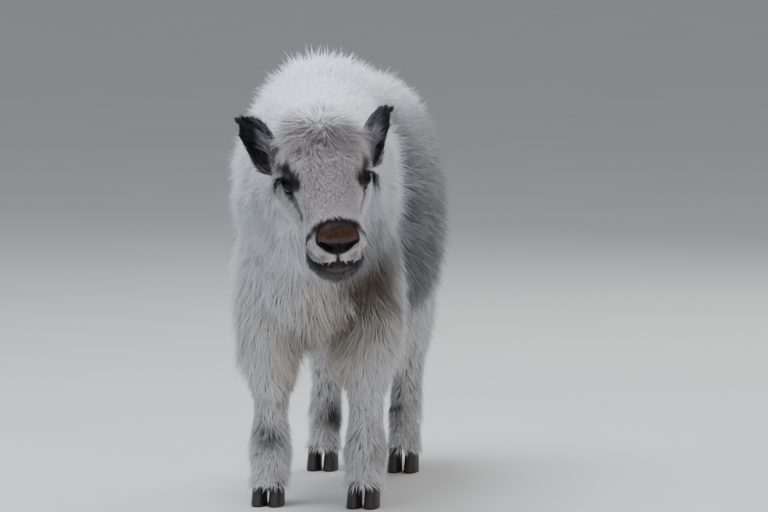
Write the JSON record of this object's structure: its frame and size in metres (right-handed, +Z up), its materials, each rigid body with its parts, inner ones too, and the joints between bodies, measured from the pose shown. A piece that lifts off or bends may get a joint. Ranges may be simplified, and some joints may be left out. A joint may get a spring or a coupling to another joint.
{
  "type": "young yak calf, standing",
  "caption": "Life-size still model of a young yak calf that stands on four legs, head turned a little to its left, in a woolly white and grey coat.",
  "frame": {"origin": "on the ground, under the middle of the animal's bounding box", "axes": "+Z up, the animal faces -Y, its left side is at +X"},
  "size_m": [0.3154, 0.9386, 0.6759],
  "materials": {
    "body_coat": "dense woolly coat, white along the back and underneath, dark grey roan on the flanks",
    "neck_coat": "woolly white coat ticked with grey",
    "face_coat": "short pale grey-beige fur, dark round the eyes and on the nose and lips",
    "ear_coat": "short black fur with grey fringe",
    "leg_coat": "shaggy white hair with a dark patch behind each fetlock",
    "tail_coat": "bushy white hair",
    "hoof_horn": "dark hoof horn with fine growth lines",
    "eye_wet": "wet, near-black eye with a dark brown iris"
  },
  "bodies": {
    "root": {"ear_left": "ear_coat", "ear_right": "ear_coat", "eye_left": "eye_wet", "eye_right": "eye_wet", "foreleg_left_claw_inner": "hoof_horn", "foreleg_left_claw_outer": "hoof_horn", "foreleg_left_lower": "leg_coat", "foreleg_left_upper": "leg_coat", "foreleg_right_claw_inner": "hoof_horn", "foreleg_right_claw_outer": "hoof_horn", "foreleg_right_lower": "leg_coat", "foreleg_right_upper": "leg_coat", "head": "face_coat", "hindleg_left_claw_inner": "hoof_horn", "hindleg_left_claw_outer": "hoof_horn", "hindleg_left_lower": "leg_coat", "hindleg_left_upper": "leg_coat", "hindleg_right_claw_inner": "hoof_horn", "hindleg_right_claw_outer": "hoof_horn", "hindleg_right_lower": "leg_coat", "hindleg_right_upper": "leg_coat", "neck": "neck_coat", "tail_dock": "tail_coat", "tail_switch": "tail_coat", "torso": "body_coat"}
  },
  "joints": []
}
